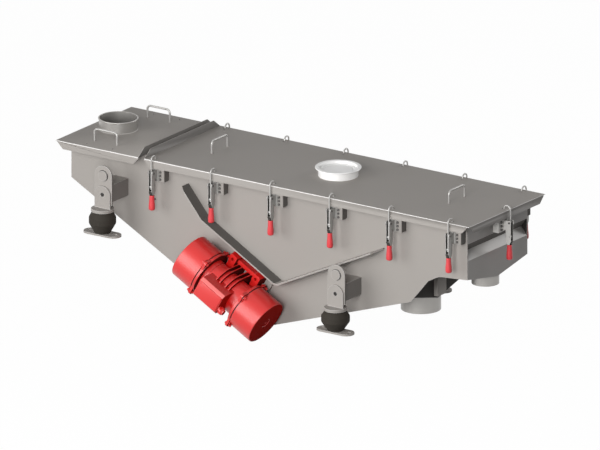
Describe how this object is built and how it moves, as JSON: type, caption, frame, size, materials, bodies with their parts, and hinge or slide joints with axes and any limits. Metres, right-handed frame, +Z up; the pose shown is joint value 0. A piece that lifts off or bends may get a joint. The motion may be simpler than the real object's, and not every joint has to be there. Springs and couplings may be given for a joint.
{
  "type": "vibrating screen",
  "caption": "Enclosed linear vibrating screen on rubber springs, with side motors, hook-latched lids and feed, fines and oversize spigots.",
  "frame": {"origin": "middle of the underside of the front foot plate at the outlet", "axes": "+X from inlet to outlet, +Y from front to back, +Z up"},
  "size_m": [2.5385, 1.1345, 0.875],
  "materials": {
    "body_paint": "satin grey",
    "deck_steel": "brushed",
    "mesh": "woven wire",
    "white_plastic": "smooth",
    "bright_rod": "polished",
    "motor_red": "gloss red",
    "spring_rubber": "matt",
    "latch_steel": "zinc plated",
    "latch_lever": "steel fork with red grip"
  },
  "bodies": {
    "frame": {"side_plate_front": "body_paint", "side_plate_back": "body_paint", "inlet_end_wall": "body_paint", "outlet_end_wall": "body_paint", "fines_pan": "body_paint", "fines_spigot": "body_paint", "hopper_end_wall": "body_paint", "overs_floor": "body_paint", "overs_spigot": "body_paint", "deck_frame": "deck_steel", "screen_mesh": "mesh", "feed_lid": "body_paint", "main_lid": "body_paint", "lid_cross_beam": "body_paint", "inlet_spigot": "body_paint", "inspection_port": "white_plastic", "inspection_cover": "white_plastic", "feed_lid_handles": "bright_rod", "main_lid_handles": "bright_rod", "side_ribs": "body_paint", "motor_plates": "body_paint", "motor_housing_front": "motor_red", "motor_housing_back": "motor_red", "motor_caps_front": "motor_red", "motor_caps_back": "motor_red", "terminal_boxes": "motor_red", "cross_tube": "body_paint", "support_arms": "body_paint", "spring_tops": "body_paint", "rubber_springs": "spring_rubber", "foot_plates": "body_paint", "latch_brackets": "body_paint", "latch_bases": "latch_steel"},
    "lever_front_1": {"latch_lever_front_1": "latch_lever"},
    "hook_front_1": {"latch_hook_front_1": "bright_rod"},
    "lever_back_1": {"latch_lever_back_1": "latch_lever"},
    "hook_back_1": {"latch_hook_back_1": "bright_rod"},
    "lever_front_2": {"latch_lever_front_2": "latch_lever"},
    "hook_front_2": {"latch_hook_front_2": "bright_rod"},
    "lever_back_2": {"latch_lever_back_2": "latch_lever"},
    "hook_back_2": {"latch_hook_back_2": "bright_rod"},
    "lever_front_3": {"latch_lever_front_3": "latch_lever"},
    "hook_front_3": {"latch_hook_front_3": "bright_rod"},
    "lever_back_3": {"latch_lever_back_3": "latch_lever"},
    "hook_back_3": {"latch_hook_back_3": "bright_rod"},
    "lever_front_4": {"latch_lever_front_4": "latch_lever"},
    "hook_front_4": {"latch_hook_front_4": "bright_rod"},
    "lever_back_4": {"latch_lever_back_4": "latch_lever"},
    "hook_back_4": {"latch_hook_back_4": "bright_rod"},
    "lever_front_5": {"latch_lever_front_5": "latch_lever"},
    "hook_front_5": {"latch_hook_front_5": "bright_rod"},
    "lever_back_5": {"latch_lever_back_5": "latch_lever"},
    "hook_back_5": {"latch_hook_back_5": "bright_rod"},
    "lever_front_6": {"latch_lever_front_6": "latch_lever"},
    "hook_front_6": {"latch_hook_front_6": "bright_rod"},
    "lever_back_6": {"latch_lever_back_6": "latch_lever"},
    "hook_back_6": {"latch_hook_back_6": "bright_rod"},
    "lever_end": {"latch_lever_end": "latch_lever"},
    "hook_end": {"latch_hook_end": "bright_rod"}
  },
  "joints": [
    {"name": "open_front_1", "type": "hinge", "parent": "frame", "child": "lever_front_1", "pos_m": [-1.1795, 0.0825, 0.596], "axis": [-1, 0, 0], "range_deg": [0, 120]},
    {"name": "swing_front_1", "type": "hinge", "parent": "lever_front_1", "child": "hook_front_1", "pos_m": [-1.1795, 0.0855, 0.522], "axis": [-1, 0, 0], "range_deg": [-120, 0]},
    {"name": "open_back_1", "type": "hinge", "parent": "frame", "child": "lever_back_1", "pos_m": [-1.1795, 0.774, 0.596], "axis": [1, 0, 0], "range_deg": [0, 120]},
    {"name": "swing_back_1", "type": "hinge", "parent": "lever_back_1", "child": "hook_back_1", "pos_m": [-1.1795, 0.771, 0.522], "axis": [1, 0, 0], "range_deg": [-120, 0]},
    {"name": "open_front_2", "type": "hinge", "parent": "frame", "child": "lever_front_2", "pos_m": [-0.8185, 0.0825, 0.596], "axis": [-1, 0, 0], "range_deg": [0, 120]},
    {"name": "swing_front_2", "type": "hinge", "parent": "lever_front_2", "child": "hook_front_2", "pos_m": [-0.8185, 0.0855, 0.522], "axis": [-1, 0, 0], "range_deg": [-120, 0]},
    {"name": "open_back_2", "type": "hinge", "parent": "frame", "child": "lever_back_2", "pos_m": [-0.8185, 0.774, 0.596], "axis": [1, 0, 0], "range_deg": [0, 120]},
    {"name": "swing_back_2", "type": "hinge", "parent": "lever_back_2", "child": "hook_back_2", "pos_m": [-0.8185, 0.771, 0.522], "axis": [1, 0, 0], "range_deg": [-120, 0]},
    {"name": "open_front_3", "type": "hinge", "parent": "frame", "child": "lever_front_3", "pos_m": [-0.4575, 0.0825, 0.596], "axis": [-1, 0, 0], "range_deg": [0, 120]},
    {"name": "swing_front_3", "type": "hinge", "parent": "lever_front_3", "child": "hook_front_3", "pos_m": [-0.4575, 0.0855, 0.522], "axis": [-1, 0, 0], "range_deg": [-120, 0]},
    {"name": "open_back_3", "type": "hinge", "parent": "frame", "child": "lever_back_3", "pos_m": [-0.4575, 0.774, 0.596], "axis": [1, 0, 0], "range_deg": [0, 120]},
    {"name": "swing_back_3", "type": "hinge", "parent": "lever_back_3", "child": "hook_back_3", "pos_m": [-0.4575, 0.771, 0.522], "axis": [1, 0, 0], "range_deg": [-120, 0]},
    {"name": "open_front_4", "type": "hinge", "parent": "frame", "child": "lever_front_4", "pos_m": [-0.0965, 0.0825, 0.596], "axis": [-1, 0, 0], "range_deg": [0, 120]},
    {"name": "swing_front_4", "type": "hinge", "parent": "lever_front_4", "child": "hook_front_4", "pos_m": [-0.0965, 0.0855, 0.522], "axis": [-1, 0, 0], "range_deg": [-120, 0]},
    {"name": "open_back_4", "type": "hinge", "parent": "frame", "child": "lever_back_4", "pos_m": [-0.0965, 0.774, 0.596], "axis": [1, 0, 0], "range_deg": [0, 120]},
    {"name": "swing_back_4", "type": "hinge", "parent": "lever_back_4", "child": "hook_back_4", "pos_m": [-0.0965, 0.771, 0.522], "axis": [1, 0, 0], "range_deg": [-120, 0]},
    {"name": "open_front_5", "type": "hinge", "parent": "frame", "child": "lever_front_5", "pos_m": [0.2645, 0.0825, 0.596], "axis": [-1, 0, 0], "range_deg": [0, 120]},
    {"name": "swing_front_5", "type": "hinge", "parent": "lever_front_5", "child": "hook_front_5", "pos_m": [0.2645, 0.0855, 0.522], "axis": [-1, 0, 0], "range_deg": [-120, 0]},
    {"name": "open_back_5", "type": "hinge", "parent": "frame", "child": "lever_back_5", "pos_m": [0.2645, 0.774, 0.596], "axis": [1, 0, 0], "range_deg": [0, 120]},
    {"name": "swing_back_5", "type": "hinge", "parent": "lever_back_5", "child": "hook_back_5", "pos_m": [0.2645, 0.771, 0.522], "axis": [1, 0, 0], "range_deg": [-120, 0]},
    {"name": "open_front_6", "type": "hinge", "parent": "frame", "child": "lever_front_6", "pos_m": [0.6255, 0.0825, 0.596], "axis": [-1, 0, 0], "range_deg": [0, 120]},
    {"name": "swing_front_6", "type": "hinge", "parent": "lever_front_6", "child": "hook_front_6", "pos_m": [0.6255, 0.0855, 0.522], "axis": [-1, 0, 0], "range_deg": [-120, 0]},
    {"name": "open_back_6", "type": "hinge", "parent": "frame", "child": "lever_back_6", "pos_m": [0.6255, 0.774, 0.596], "axis": [1, 0, 0], "range_deg": [0, 120]},
    {"name": "swing_back_6", "type": "hinge", "parent": "lever_back_6", "child": "hook_back_6", "pos_m": [0.6255, 0.771, 0.522], "axis": [1, 0, 0], "range_deg": [-120, 0]},
    {"name": "open_end", "type": "hinge", "parent": "frame", "child": "lever_end", "pos_m": [0.7595, 0.44325, 0.596], "axis": [0, -1, 0], "range_deg": [0, 120]},
    {"name": "swing_end", "type": "hinge", "parent": "lever_end", "child": "hook_end", "pos_m": [0.7565, 0.44325, 0.522], "axis": [0, -1, 0], "range_deg": [-120, 0]}
  ],
  "couplings": [
    {"joint": "swing_front_1", "follows": "open_front_1", "ratio": -1},
    {"joint": "swing_back_1", "follows": "open_back_1", "ratio": -1},
    {"joint": "swing_front_2", "follows": "open_front_2", "ratio": -1},
    {"joint": "swing_back_2", "follows": "open_back_2", "ratio": -1},
    {"joint": "swing_front_3", "follows": "open_front_3", "ratio": -1},
    {"joint": "swing_back_3", "follows": "open_back_3", "ratio": -1},
    {"joint": "swing_front_4", "follows": "open_front_4", "ratio": -1},
    {"joint": "swing_back_4", "follows": "open_back_4", "ratio": -1},
    {"joint": "swing_front_5", "follows": "open_front_5", "ratio": -1},
    {"joint": "swing_back_5", "follows": "open_back_5", "ratio": -1},
    {"joint": "swing_front_6", "follows": "open_front_6", "ratio": -1},
    {"joint": "swing_back_6", "follows": "open_back_6", "ratio": -1},
    {"joint": "swing_end", "follows": "open_end", "ratio": -1}
  ]
}
